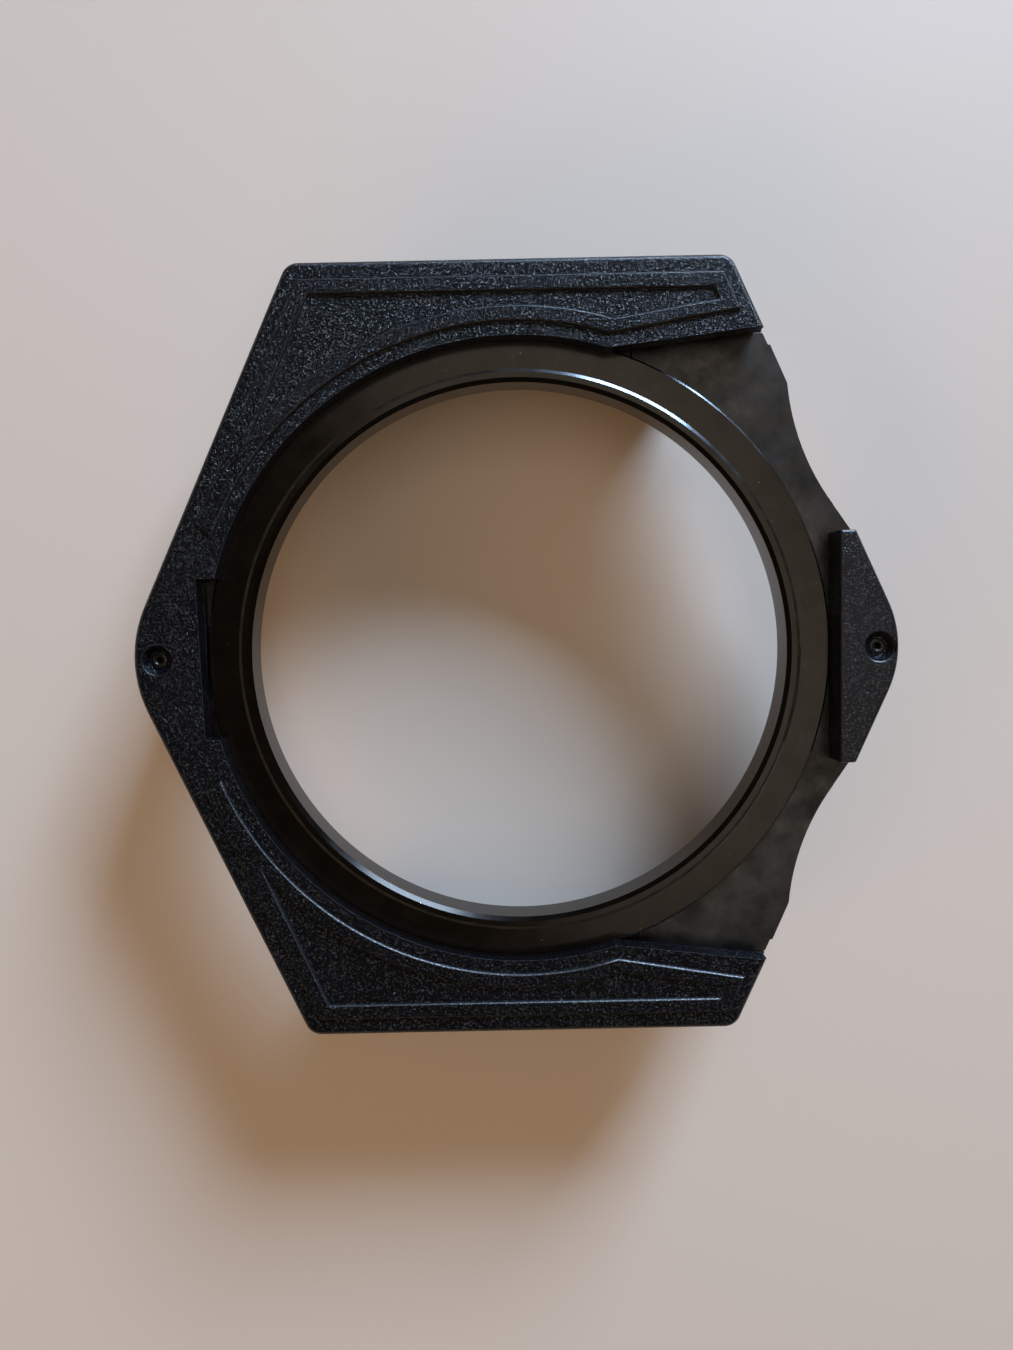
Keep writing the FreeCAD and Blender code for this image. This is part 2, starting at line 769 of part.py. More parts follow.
base_plate = make_base_plate()
release_wing = make_release_wing()
rear_frame = make_rear_frame()
latch_block = make_latch_block()
adapter_ring = make_adapter_ring()
upper_rail = make_rail("upper_rail", 1)
lower_rail = make_rail("lower_rail", -1)
cut_leaf_pockets(upper_rail)
leaf_springs = [make_leaf_spring(slot) for slot in range(GROOVES)]
brake_spring = make_brake_spring()
frame_rivet = make_rivet("frame_rivet", -size["frame_rivet_place"], size["rail_depth"])
latch_rivet = make_rivet("latch_rivet", size["latch_rivet_place"], PLATE_UNDER)
upper_screws = make_rail_screws("upper_rail_screws", 1)
lower_screws = make_rail_screws("lower_rail_screws", -1)

pieces = [base_plate, release_wing, rear_frame, latch_block, adapter_ring, upper_rail, lower_rail]
pieces += leaf_springs + [brake_spring, frame_rivet, latch_rivet, upper_screws, lower_screws]

doc.recompute()
for item in doc.Objects:
    if "Invalid" in item.State or "Error" in item.State:
        raise RuntimeError(f"{item.Label} failed: {item.State}")
for piece in pieces:
    if piece.Shape.isNull() or not piece.Shape.isValid():
        raise RuntimeError(f"{piece.Label} has no valid shape")

os.makedirs("parts", exist_ok=True)
for piece in pieces:
    piece.Shape.exportStep(f"parts/{piece.Label}.step")
    box = piece.Shape.BoundBox
    print(
        f"{piece.Label:20s} {len(piece.Shape.Solids)} solid(s) {piece.Shape.Volume:9.2f} mm3",
        f"x {box.XMin:.2f}..{box.XMax:.2f} y {box.YMin:.2f}..{box.YMax:.2f}",
        f"z {box.ZMin:.2f}..{box.ZMax:.2f}",
    )
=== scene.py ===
import bmesh
import bpy
import math
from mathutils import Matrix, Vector


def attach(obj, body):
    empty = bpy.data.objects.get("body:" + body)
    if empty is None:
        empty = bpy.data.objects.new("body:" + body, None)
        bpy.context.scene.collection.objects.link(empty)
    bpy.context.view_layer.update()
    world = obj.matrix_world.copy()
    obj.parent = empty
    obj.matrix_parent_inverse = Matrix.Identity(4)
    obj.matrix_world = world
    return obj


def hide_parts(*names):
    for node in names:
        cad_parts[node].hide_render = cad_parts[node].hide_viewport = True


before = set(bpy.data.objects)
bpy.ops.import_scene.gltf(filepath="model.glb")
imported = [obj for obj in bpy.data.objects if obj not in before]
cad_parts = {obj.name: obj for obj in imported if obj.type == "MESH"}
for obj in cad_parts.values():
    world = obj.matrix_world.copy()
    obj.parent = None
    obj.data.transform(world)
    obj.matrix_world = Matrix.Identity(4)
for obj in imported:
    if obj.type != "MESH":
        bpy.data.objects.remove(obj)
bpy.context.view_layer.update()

# ---- Base plate -------------------------------------------------------------------------------
# The front moulding of the holder: a thin plate round the light opening, with a collar, a skirt
# and ribs on its hidden side.  It is injection-moulded ABS from a polished tool, so it is
# smooth and half glossy, with faint flow marks, and its edges are as crisp as the tool's.

MM = 0.001
PLATE_EDGE = 0.12 * MM
PLATE_DARK = "#0d0d0c"
PLATE_PALE = "#1c1a17"
ABS_IOR = 1.54
SHARP_CORNER = math.radians(35)
SMOOTH_BEND = math.radians(32)
FLAT_BEND = math.radians(1.0)
MERGE_GAP = 0.002 * MM


def linear(hex_colour):
    """An sRGB hex colour as linear RGBA."""
    parts = [int(hex_colour[i : i + 2], 16) / 255 for i in (1, 3, 5)]
    return tuple(c / 12.92 if c <= 0.04045 else ((c + 0.055) / 1.055) ** 2.4 for c in parts) + (1,)


def add_node(tree, kind, settings, links, output=0):
    """Adds a node with its settings and incoming links, and gives one of its outputs.

    A setting goes by the name of an input or a property, a link by an input's; some go by number.
    """
    node = tree.nodes.new("ShaderNode" + kind)
    for name, value in settings.items():
        if isinstance(name, int) or name in node.inputs:
            node.inputs[name].default_value = value
        else:
            setattr(node, name, value)
    for name, socket in links.items():
        tree.links.new(socket, node.inputs[name])
    return node.outputs[output]


def new_material(name, shader_settings):
    """An empty material with its shader and the piece's own coordinates, in metres."""
    material = bpy.data.materials.new(name)
    material.use_nodes = True
    tree = material.node_tree
    tree.nodes.clear()
    surface = add_node(tree, "BsdfPrincipled", shader_settings, {})
    tree.links.new(surface, tree.nodes.new("ShaderNodeOutputMaterial").inputs["Surface"])
    place = add_node(tree, "TexCoord", {}, {}, "Object")
    return material, tree, surface.node, place


def rubbed_edges(tree, radius):
    """1 on edges that hands and bags have rubbed, 0 on flat faces."""
    soft = add_node(tree, "Bevel", {"samples": 4, "Radius": radius}, {})
    hard = add_node(tree, "NewGeometry", {}, {}, "Normal")
    turn = add_node(tree, "VectorMath", {"operation": "DOT_PRODUCT"}, {0: soft, 1: hard}, "Value")
    return add_node(tree, "MapRange", {"From Min": 0.995, "From Max": 0.86}, {0: turn})


def slanted(tree):
    """1 on rounded and chamfered corners, 0 on level faces and upright walls."""
    normal = add_node(tree, "NewGeometry", {}, {}, "Normal")
    rise = add_node(tree, "SeparateXYZ", {}, {0: normal}, "Z")
    level = add_node(tree, "Math", {"operation": "MULTIPLY"}, {0: rise, 1: rise})
    upright = add_node(tree, "Math", {"operation": "SUBTRACT", 0: 1.0}, {1: level})
    both = add_node(tree, "Math", {"operation": "MULTIPLY"}, {0: level, 1: upright})
    return add_node(tree, "MapRange", {"From Min": 0.04, "From Max": 0.16}, {0: both})


def smooth_abs():
    """Polished-tool ABS: a broad mottled sheen, faint flow marks and a few rubbed edges."""
    material, tree, shader, place = new_material("smooth_moulded_abs", {"IOR": ABS_IOR})
    mottling = {"Scale": 1 / (7 * MM), "Detail": 5.0, "Roughness": 0.6}
    mottle = add_node(tree, "TexNoise", mottling, {"Vector": place})
    pale = add_node(tree, "MapRange", {"From Min": 0.35, "From Max": 0.65}, {0: mottle})
    colours = {"data_type": "RGBA", 6: linear(PLATE_DARK), 7: linear(PLATE_PALE)}
    colour = add_node(tree, "Mix", colours, {0: pale}, 2)
    worn = {"data_type": "RGBA", 7: linear("#34322e")}
    colour = add_node(tree, "Mix", worn, {0: rubbed_edges(tree, 0.25 * MM), 6: colour}, 2)
    tree.links.new(colour, shader.inputs["Base Color"])
    sheen = {"From Min": 0.35, "From Max": 0.65, "To Min": 0.22, "To Max": 0.48}
    tree.links.new(add_node(tree, "MapRange", sheen, {0: mottle}), shader.inputs["Specular IOR Level"])
    smearing = {"Scale": 1 / (4 * MM), "Detail": 6.0, "Roughness": 0.65}
    smears = add_node(tree, "TexNoise", smearing, {"Vector": place})
    gloss = {"From Min": 0.35, "From Max": 0.65, "To Min": 0.22, "To Max": 0.46}
    tree.links.new(add_node(tree, "MapRange", gloss, {0: smears}), shader.inputs["Roughness"])
    flow = {"Scale": 1 / (0.9 * MM), "Detail": 4.0, "Roughness": 0.6}
    ripple = add_node(tree, "TexNoise", flow, {"Vector": place})
    bump = add_node(tree, "Bump", {"Strength": 0.35, "Distance": 0.03 * MM}, {"Height": ripple})
    tree.links.new(bump, shader.inputs["Normal"])
    return material


SMOOTH_ABS = smooth_abs()


def select_only(piece):
    """Selects one object and makes it active."""
    bpy.ops.object.select_all(action="DESELECT")
    piece.select_set(True)
    bpy.context.view_layer.objects.active = piece


def apply_modifier(piece, kind, settings):
    """Adds a modifier with its settings and applies it to the mesh."""
    select_only(piece)
    modifier = piece.modifiers.new(kind.lower(), kind)
    for name, value in settings.items():
        setattr(modifier, name, value)
    bpy.ops.object.modifier_apply(modifier=modifier.name)


def cad_copy(name, node):
    """A copy of a CAD solid with its triangles joined into clean faces."""
    piece = bpy.data.objects.new(name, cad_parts[node].data.copy())
    bpy.context.scene.collection.objects.link(piece)
    piece.data.materials.clear()
    select_only(piece)
    bpy.ops.object.mode_set(mode="EDIT")
    bpy.ops.mesh.select_all(action="SELECT")
    bpy.ops.mesh.customdata_custom_splitnormals_clear()
    bpy.ops.mesh.remove_doubles(threshold=MERGE_GAP)
    bpy.ops.mesh.dissolve_limited(angle_limit=FLAT_BEND)
    bpy.ops.object.mode_set(mode="OBJECT")
    return piece


def ease_edges(piece, width):
    """Eases all sharp edges of a piece by a width, and shades its gentle bends smooth."""
    easing = {"width": width, "segments": 2, "use_clamp_overlap": True}
    apply_modifier(piece, "BEVEL", {**easing, "limit_method": "ANGLE", "angle_limit": SHARP_CORNER})
    select_only(piece)
    bpy.ops.object.shade_smooth_by_angle(angle=SMOOTH_BEND)
    apply_modifier(piece, "WEIGHTED_NORMAL", {"keep_sharp": True})


def moulded_piece(name, node, width):
    """A clean copy of a CAD solid with its edges eased by a width."""
    piece = cad_copy(name, node)
    ease_edges(piece, width)
    return piece


def fit_piece(piece, material, body, slot, *nodes):
    """Gives a finished piece its material and its body, and hides the CAD nodes it stands for; its slot is
    not used.
    """
    piece.data.materials.clear()
    piece.data.materials.append(material)
    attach(piece, body)
    if nodes:
        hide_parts(*nodes)


plate = moulded_piece("base_plate_moulding", "base_plate", PLATE_EDGE)
fit_piece(plate, SMOOTH_ABS, "holder", "smooth_plastic", "base_plate")

# ---- Release wing -----------------------------------------------------------------------------
# The springy part of the front moulding.  It carries the latch, and has a hollow for the thumb
# on each side of it.  Same smooth ABS as the plate.

wing = moulded_piece("release_wing_moulding", "release_wing", PLATE_EDGE)
fit_piece(wing, SMOOTH_ABS, "latch", "smooth_plastic", "release_wing")

# ---- Rear frame -------------------------------------------------------------------------------
# The C-shaped back moulding that holds the ring, with a raised loop on each arm.  Its tool was
# spark-eroded, so the ABS is black between small shiny crests, and smoother where hands rub it;
# the crests are also painted a paler blue as a glint.

FRAME_EDGE = 0.08 * MM
FRAME_TOP = 22.6 * MM
LIP_EDGE = 0.3 * MM
LOOP_TOP = 23.05 * MM
LOOP_EDGE = 0.36 * MM
GRAIN_SIZE = 0.30 * MM
GRAIN_DEPTH = 0.18 * MM
RUBBED_FROM = 22.3 * MM
RUBBED_FULL = 22.55 * MM
NEAR = 0.01 * MM


def grained_abs(name, grain, depth, sheen, glint, dark, pale):
    """Spark-eroded ABS: a pebbled grain, shiny on its crests and painted paler there as a glint, and rubbed
    smooth at the edges.

    Sheen is the strength of the gloss between the crests, and glint on top of them.
    """
    material, tree, shader, place = new_material(name, {"IOR": ABS_IOR})
    height_up = add_node(tree, "SeparateXYZ", {}, {0: place}, "Z")
    top_band = {"From Min": RUBBED_FROM, "From Max": RUBBED_FULL}
    top_only = add_node(tree, "MapRange", top_band, {0: height_up})
    rubbed = add_node(tree, "Math", {"operation": "MULTIPLY"}, {0: slanted(tree), 1: top_only})
    coarse = {"Scale": 1 / grain, "Detail": 2.0, "Roughness": 0.55}
    pebbles = add_node(tree, "TexNoise", coarse, {"Vector": place})
    small = {"Scale": 3 / grain, "Detail": 2.0, "Roughness": 0.6}
    fine = add_node(tree, "TexNoise", small, {"Vector": place})
    height = add_node(tree, "Math", {"operation": "MULTIPLY_ADD", 1: 0.35}, {0: fine, 2: pebbles})
    fading = add_node(tree, "MapRange", {"To Min": 1.0, "To Max": 0.3}, {0: rubbed})
    bump = add_node(tree, "Bump", {"Distance": depth}, {"Strength": fading, "Height": height})
    tree.links.new(bump, shader.inputs["Normal"])
    crest = add_node(tree, "MapRange", {"From Min": 0.53, "From Max": 0.66}, {0: pebbles})
    shining = add_node(tree, "MapRange", {"To Min": sheen, "To Max": glint}, {0: crest})
    sheens = add_node(tree, "Math", {"operation": "MULTIPLY_ADD", 1: 0.5}, {0: rubbed, 2: shining})
    tree.links.new(sheens, shader.inputs["Specular IOR Level"])
    clouding = {"Scale": 1 / (14 * MM), "Detail": 3.0}
    cloud = add_node(tree, "TexNoise", clouding, {"Vector": place})
    fade = add_node(tree, "MapRange", {"From Min": 0.3, "From Max": 0.7}, {0: cloud})
    colours = {"data_type": "RGBA", 6: linear(dark), 7: linear(pale)}
    colour = add_node(tree, "Mix", colours, {0: fade}, 2)
    # The crests get a paler bluish base colour: a painted glint.
    painted_glint_colour = {"data_type": "RGBA", 7: linear("#1a1e26")}
    colour = add_node(tree, "Mix", painted_glint_colour, {0: crest, 6: colour}, 2)
    worn = {"data_type": "RGBA", 7: linear("#2a2e35")}
    colour = add_node(tree, "Mix", worn, {0: rubbed_edges(tree, 0.2 * MM), 6: colour}, 2)
    tree.links.new(colour, shader.inputs["Base Color"])
    gloss = {"From Min": 0.35, "From Max": 0.65, "To Min": 0.26, "To Max": 0.13}
    crest_gloss = add_node(tree, "MapRange", gloss, {0: pebbles})
    rough = add_node(tree, "Math", {"operation": "MULTIPLY_ADD", 1: 0.2}, {0: rubbed, 2: crest_gloss})
    tree.links.new(rough, shader.inputs["Roughness"])
    return material


COARSE_ABS = grained_abs("spark_eroded_abs", GRAIN_SIZE, GRAIN_DEPTH, 0.10, 0.85, "#040507", "#07090c")


def ease_level_edges(piece, height, radius):
    """Rounds the sharp outward corners of a piece that lie at one height."""
    select_only(piece)
    mesh = bmesh.new()
    mesh.from_mesh(piece.data)
    mesh.select_mode = {"EDGE"}
    for edge in mesh.edges:
        level = max(abs(end.co.z - height) for end in edge.verts) < NEAR
        edge.select_set(level and edge.is_convex and edge.calc_face_angle(0.0) > SHARP_CORNER)
    mesh.select_flush_mode()
    mesh.to_mesh(piece.data)
    mesh.free()
    bpy.ops.object.mode_set(mode="EDIT")
    bpy.ops.mesh.select_mode(type="EDGE")
    bpy.ops.mesh.bevel(offset=radius, segments=3, affect="EDGES", clamp_overlap=True)
    bpy.ops.object.mode_set(mode="OBJECT")


rear = cad_copy("rear_frame_moulding", "rear_frame")
ease_level_edges(rear, FRAME_TOP, LIP_EDGE)
ease_level_edges(rear, LOOP_TOP, LOOP_EDGE)
ease_edges(rear, FRAME_EDGE)
fit_piece(rear, COARSE_ABS, "holder", "grained_plastic", "rear_frame")

# ---- Latch block ------------------------------------------------------------------------------
# The block riveted to the wing, which stops the ring from sliding out.  It is ABS like the rear
# frame, from a tool with a shallower grain, so that it is more even in colour.

BLOCK_EDGE = 0.22 * MM
BLOCK_GRAIN = 0.32 * MM
BLOCK_DEPTH = 0.12 * MM

SHALLOW_ABS = grained_abs("shallow_grained_abs", BLOCK_GRAIN, BLOCK_DEPTH, 0.27, 0.75, "#0a0c0f", "#121519")
block = moulded_piece("latch_block_moulding", "latch_block", BLOCK_EDGE)
fit_piece(block, SHALLOW_ABS, "latch", "grained_plastic", "latch_block")

# ---- Adapter ring -----------------------------------------------------------------------------
# The ring that joins the holder to a lens, turned from aluminium and anodised black.  Its flange
# has a milled edge for turning it by finger, and its spigot a 0.75 mm lens thread over a turned
# relief; the rim that meets the lens is rubbed down to bare metal here and there, and the outer
# chamfers are painted paler all round as a highlight.

MILLED_NOTCHES = 340
STEPS_PER_NOTCH = 4
THREAD_PITCH = 0.75 * MM
THREAD_CREST = 38.3 * MM
THREAD_ROOT = 37.95 * MM
THREAD_START = 20.25 * MM
THREAD_HALF = 0.34 * MM
THREAD_SUNK = 0.05 * MM
THREAD_TURNS = 3
THREAD_STEPS = 360
FLANGE_RADIUS = 43.4 * MM
FLANGE_MIDDLE = 18.6 * MM
NOTCH_FLOOR = 43.22 * MM
BARE_AND_HIGHLIGHT_FROM = 37.3 * MM
BARE_AND_HIGHLIGHT_FULL = 37.6 * MM
TURNED_BEND = math.radians(18)
SEAM_GAP = 0.001 * MM

# (radius, height) in millimetres, from the foot of the bore round the flange to the rim
RING_PROFILE = [
    (36.55, 17.65),
    (43.05, 17.65),
    (43.40, 18.00),
    (43.40, 19.42),
    (43.15, 19.55),
    (38.75, 19.55),
    (38.62, 19.38),
    (37.95, 19.38),
    (37.95, 22.70),
    (38.28, 22.84),
    (37.83, 23.10),
    (37.10, 23.10),
    (36.55, 22.55),
]


def turned_piece(name, x, profile, steps):
    """A closed profile of (radius, height) pairs in millimetres, turned about an upright axis."""
    bpy.ops.object.select_all(action="DESELECT")
    start = (x, 0, profile[0][1] * MM)
    bpy.ops.mesh.primitive_circle_add(vertices=steps, radius=profile[0][0] * MM, location=start)
    piece = bpy.context.object
    piece.name = name
    bpy.ops.object.transform_apply(location=True, rotation=True, scale=True)
    bpy.ops.object.mode_set(mode="EDIT")
    bpy.ops.mesh.select_mode(type="VERT")
    bpy.ops.mesh.select_all(action="SELECT")
    for (radius, height), (next_radius, next_height) in zip(profile, profile[1:] + profile[:1]):
        lift = {"value": (0, 0, (next_height - height) * MM)}
        bpy.ops.mesh.extrude_edges_move(TRANSFORM_OT_translate=lift)
        spread = next_radius / radius
        centre = (x, 0, next_height * MM)
        bpy.ops.transform.resize(value=(spread, spread, 1), center_override=centre)
    bpy.ops.mesh.select_all(action="SELECT")
    bpy.ops.mesh.remove_doubles(threshold=SEAM_GAP)
    bpy.ops.mesh.normals_make_consistent(inside=False)
    bpy.ops.object.mode_set(mode="OBJECT")
    bpy.ops.object.shade_smooth_by_angle(angle=TURNED_BEND)
    return piece


def mill_flange(piece):
    """Presses straight notches into the outer edge of the flange."""
    steps = MILLED_NOTCHES * STEPS_PER_NOTCH
    for vertex in piece.data.vertices:
        x, y = vertex.co.xy
        number = round(math.atan2(y, x) / math.tau * steps) % STEPS_PER_NOTCH
        on_edge = abs(math.hypot(x, y) - FLANGE_RADIUS) < NEAR
        vertex.select = on_edge and number < STEPS_PER_NOTCH / 2
    select_only(piece)
    bpy.ops.object.mode_set(mode="EDIT")
    inward = NOTCH_FLOOR / FLANGE_RADIUS
    bpy.ops.transform.resize(value=(inward, inward, 1), center_override=(0, 0, FLANGE_MIDDLE))
    bpy.ops.object.mode_set(mode="OBJECT")


def lens_thread():
    """One closed helical ridge of triangular section that winds up the spigot."""
    bpy.ops.object.select_all(action="DESELECT")
    bpy.ops.mesh.primitive_circle_add(vertices=3, radius=THREAD_PITCH / 2, fill_type="NOTHING")
    thread = bpy.context.object
    thread.name = "lens_thread"
    inside = THREAD_ROOT - THREAD_SUNK
    corners = [(inside, -THREAD_HALF), (THREAD_CREST, 0), (inside, THREAD_HALF)]
    for vertex, (radius, height) in zip(thread.data.vertices, corners):
        vertex.co = (radius, 0, THREAD_START + height)
    winding = {"screw_offset": THREAD_PITCH, "iterations": THREAD_TURNS, "use_merge_vertices": False}
    apply_modifier(thread, "SCREW", {**winding, "steps": THREAD_STEPS, "render_steps": THREAD_STEPS})
    bpy.ops.object.mode_set(mode="EDIT")
    bpy.ops.mesh.select_mode(type="VERT")
    bpy.ops.mesh.select_all(action="SELECT")
    bpy.ops.mesh.fill_holes(sides=3)
    bpy.ops.mesh.select_all(action="SELECT")
    bpy.ops.mesh.normals_make_consistent(inside=False)
    bpy.ops.object.mode_set(mode="OBJECT")
    bpy.ops.object.shade_smooth_by_angle(angle=SMOOTH_BEND)
    return thread


def black_anodised():
    """Black anodised aluminium: fine turning lines, smears, scratches, dust specks that double as painted
    glints, and worn metal edges that double as painted highlights.

    The turning lines are 0.12 mm apart, coarser than the tool left them, so that they show.
    """
    material, tree, shader, place = new_material("black_anodised_aluminium", {"Metallic": 1.0})
    apart = add_node(tree, "SeparateXYZ", {}, {0: place}).node.outputs
    flat = add_node(tree, "CombineXYZ", {}, {"X": apart["X"], "Y": apart["Y"]})
    radius = add_node(tree, "VectorMath", {"operation": "LENGTH"}, {0: flat}, "Value")
    turned = add_node(tree, "CombineXYZ", {}, {"X": radius, "Z": apart["Z"]})
    turning = {"Scale": 1 / (0.12 * MM), "Detail": 3.0, "Roughness": 0.6}
    lines = add_node(tree, "TexNoise", turning, {"Vector": turned})
    smearing = {"Scale": 1 / (5 * MM), "Detail": 5.0, "Roughness": 0.6}
    smears = add_node(tree, "TexNoise", smearing, {"Vector": place})
    # Pale specks: dust, and also painted tiny glints.
    specks = add_node(tree, "TexNoise", {"Scale": 1 / (0.28 * MM), "Detail": 1.0}, {"Vector": place})
    dust_and_glints = add_node(tree, "MapRange", {"From Min": 0.81, "From Max": 0.83}, {0: specks})
    scratching = {"Scale": 1 / (9 * MM), "Detail": 8.0, "Roughness": 0.75}
    field = add_node(tree, "TexNoise", scratching, {"Vector": place})
    offset = add_node(tree, "Math", {"operation": "SUBTRACT", 1: 0.60}, {0: field})
    distance = add_node(tree, "Math", {"operation": "ABSOLUTE"}, {0: offset})
    thin = {"From Min": 0.0008, "From Max": 0.0, "To Min": 0.0, "To Max": 0.7}
    scratches = add_node(tree, "MapRange", thin, {0: distance})
    # Outer chamfers turn paler: worn bare metal, and also a painted highlight.
    outward = add_node(tree, "MapRange", {"From Min": BARE_AND_HIGHLIGHT_FROM, "From Max": BARE_AND_HIGHLIGHT_FULL}, {0: radius})
    edges = add_node(tree, "Math", {"operation": "MULTIPLY"}, {0: slanted(tree), 1: outward})
    wearing = {"Scale": 1 / (2.2 * MM), "Detail": 5.0, "Roughness": 0.7}
    wear = add_node(tree, "TexNoise", wearing, {"Vector": place})
    patches = {"From Min": 0.40, "From Max": 0.62, "To Min": 0.55, "To Max": 1.0}
    worn = add_node(tree, "MapRange", patches, {0: wear})
    bare_and_highlight = add_node(tree, "Math", {"operation": "MULTIPLY"}, {0: edges, 1: worn})
    smeared = add_node(tree, "MapRange", {"From Min": 0.3, "From Max": 0.7}, {0: smears})
    colours = {"data_type": "RGBA", 6: linear("#282624"), 7: linear("#302e2c")}
    colour = add_node(tree, "Mix", colours, {0: smeared}, 2)
    for mask, shade in ((scratches, "#6f6d6b"), (dust_and_glints, "#b9b4ac"), (bare_and_highlight, "#6c7075")):
        over = {"data_type": "RGBA", 7: linear(shade)}
        colour = add_node(tree, "Mix", over, {0: mask, 6: colour}, 2)
    tree.links.new(colour, shader.inputs["Base Color"])
    gloss = {"From Min": 0.3, "From Max": 0.75, "To Min": 0.13, "To Max": 0.20}
    smear_gloss = add_node(tree, "MapRange", gloss, {0: smears})
    rough = add_node(tree, "Math", {"operation": "MULTIPLY_ADD", 1: 0.08}, {0: lines, 2: smear_gloss})
    tree.links.new(rough, shader.inputs["Roughness"])
    bump = add_node(tree, "Bump", {"Strength": 0.3, "Distance": 0.004 * MM}, {"Height": lines})
    tree.links.new(bump, shader.inputs["Normal"])
    return material


ANODISED = black_anodised()
ring = turned_piece("adapter_ring_turned", 0, RING_PROFILE, MILLED_NOTCHES * STEPS_PER_NOTCH)
mill_flange(ring)
fit_piece(ring, ANODISED, "ring", "black_anodised_aluminium", "adapter_ring")
thread = lens_thread()
fit_piece(thread, ANODISED, "ring", "black_anodised_aluminium")

# ---- Filter rails -----------------------------------------------------------------------------
# Two combs of three grooves that guide the square filters in front of the lens.  They are
# moulded in the same smooth ABS as the plate, with scuffs where filters have slid in and out.

RAIL_EDGE = 0.15 * MM


def scuffed_abs():
    """Smooth ABS with straight fine scuffs along the grooves."""
    material, tree, shader, place = new_material("scuffed_moulded_abs", {"IOR": ABS_IOR})
    stretch = {"operation": "MULTIPLY", 1: (0.06, 1.0, 1.0)}
    along = add_node(tree, "VectorMath", stretch, {0: place})
    scuffing = {"Scale": 1 / (0.35 * MM), "Detail": 4.0, "Roughness": 0.7}
    scuffs = add_node(tree, "TexNoise", scuffing, {"Vector": along})
    mottle = add_node(tree, "TexNoise", {"Scale": 1 / (6 * MM), "Detail": 4.0}, {"Vector": place})
    pale = add_node(tree, "MapRange", {"From Min": 0.35, "From Max": 0.7}, {0: mottle})
    colours = {"data_type": "RGBA", 6: linear(PLATE_DARK), 7: linear(PLATE_PALE)}
    colour = add_node(tree, "Mix", colours, {0: pale}, 2)
    scuffed = add_node(tree, "MapRange", {"From Min": 0.62, "From Max": 0.74}, {0: scuffs})
    for mask, shade in ((scuffed, "#2f2e2c"), (rubbed_edges(tree, 0.25 * MM), "#3a3835")):
        over = {"data_type": "RGBA", 7: linear(shade)}
        colour = add_node(tree, "Mix", over, {0: mask, 6: colour}, 2)
    tree.links.new(colour, shader.inputs["Base Color"])
    gloss = {"From Min": 0.35, "From Max": 0.7, "To Min": 0.32, "To Max": 0.55}
    tree.links.new(add_node(tree, "MapRange", gloss, {0: scuffs}), shader.inputs["Roughness"])
    bump = add_node(tree, "Bump", {"Strength": 0.3, "Distance": 0.02 * MM}, {"Height": scuffs})
    tree.links.new(bump, shader.inputs["Normal"])
    return material


SCUFFED_ABS = scuffed_abs()
for node in ("upper_rail", "lower_rail"):
    rail = moulded_piece(f"{node}_moulding", node, RAIL_EDGE)
    fit_piece(rail, SCUFFED_ABS, "holder", "smooth_plastic", node)

# ---- Filter leaf springs ----------------------------------------------------------------------
# A bowed strip of spring steel in each groove of the upper rail, which presses the filter down.
# The strips are cut from rolled steel, stained in patches, and polished bright at their edges.

LEAF_EDGE = 0.03 * MM


def spring_strip(name, first, second, polish):
    """Rolled steel strip: long grain, stains, and polish on the edges."""
    material, tree, shader, place = new_material(name, {"Metallic": 1.0})
    stretch = {"operation": "MULTIPLY", 1: (0.05, 0.05, 1.0)}
    along = add_node(tree, "VectorMath", stretch, {0: place})
    rolling = {"Scale": 1 / (0.05 * MM), "Detail": 3.0, "Roughness": 0.7}
    grain = add_node(tree, "TexNoise", rolling, {"Vector": along})
    staining = {"Scale": 1 / (2.5 * MM), "Detail": 4.0, "Roughness": 0.6}
    stains = add_node(tree, "TexNoise", staining, {"Vector": place})
    stained = add_node(tree, "MapRange", {"From Min": 0.35, "From Max": 0.7}, {0: stains})
    colours = {"data_type": "RGBA", 6: linear(first), 7: linear(second)}
    colour = add_node(tree, "Mix", colours, {0: stained}, 2)
    polished = {"data_type": "RGBA", 7: linear(polish)}
    colour = add_node(tree, "Mix", polished, {0: rubbed_edges(tree, 0.06 * MM), 6: colour}, 2)
    tree.links.new(colour, shader.inputs["Base Color"])
    gloss = {"From Min": 0.3, "From Max": 0.7, "To Min": 0.24, "To Max": 0.4}
    tree.links.new(add_node(tree, "MapRange", gloss, {0: grain}), shader.inputs["Roughness"])
    bump = add_node(tree, "Bump", {"Strength": 0.3, "Distance": 0.004 * MM}, {"Height": grain})
    tree.links.new(bump, shader.inputs["Normal"])
    return material


SPRING_STEEL = spring_strip("spring_steel", "#8d8c88", "#6c6a6e", "#c4c3bf")
for number in (1, 2, 3):
    node = f"filter_spring_{number}"
    leaf = moulded_piece(f"filter_leaf_{number}_strip", node, LEAF_EDGE)
    fit_piece(leaf, SPRING_STEEL, f"filter_leaf_{number}", "spring_steel", node)

# ---- Ring brake spring ------------------------------------------------------------------------
# A blackened steel strip in a pocket of the rear frame.  It rubs on the milled edge of the ring,
# so that the ring turns stiffly and stays where it is put.

BLACK_STRIP = spring_strip("blackened_spring_steel", "#1d1d1f", "#2b2a2a", "#6a6a6c")
brake = moulded_piece("ring_brake_strip", "ring_brake_spring", LEAF_EDGE)
fit_piece(brake, BLACK_STRIP, "ring_brake", "blackened_steel", "ring_brake_spring")

# ---- Rivets -----------------------------------------------------------------------------------
# Tubular steel rivets in the dimples of the rear frame and of the latch block, chemically
# blackened before they were set, with the black worn off the rolled-over lip.

RIVET_STEPS = 64
SHANK_RADIUS = 0.70
HOLLOW_RADIUS = 0.35

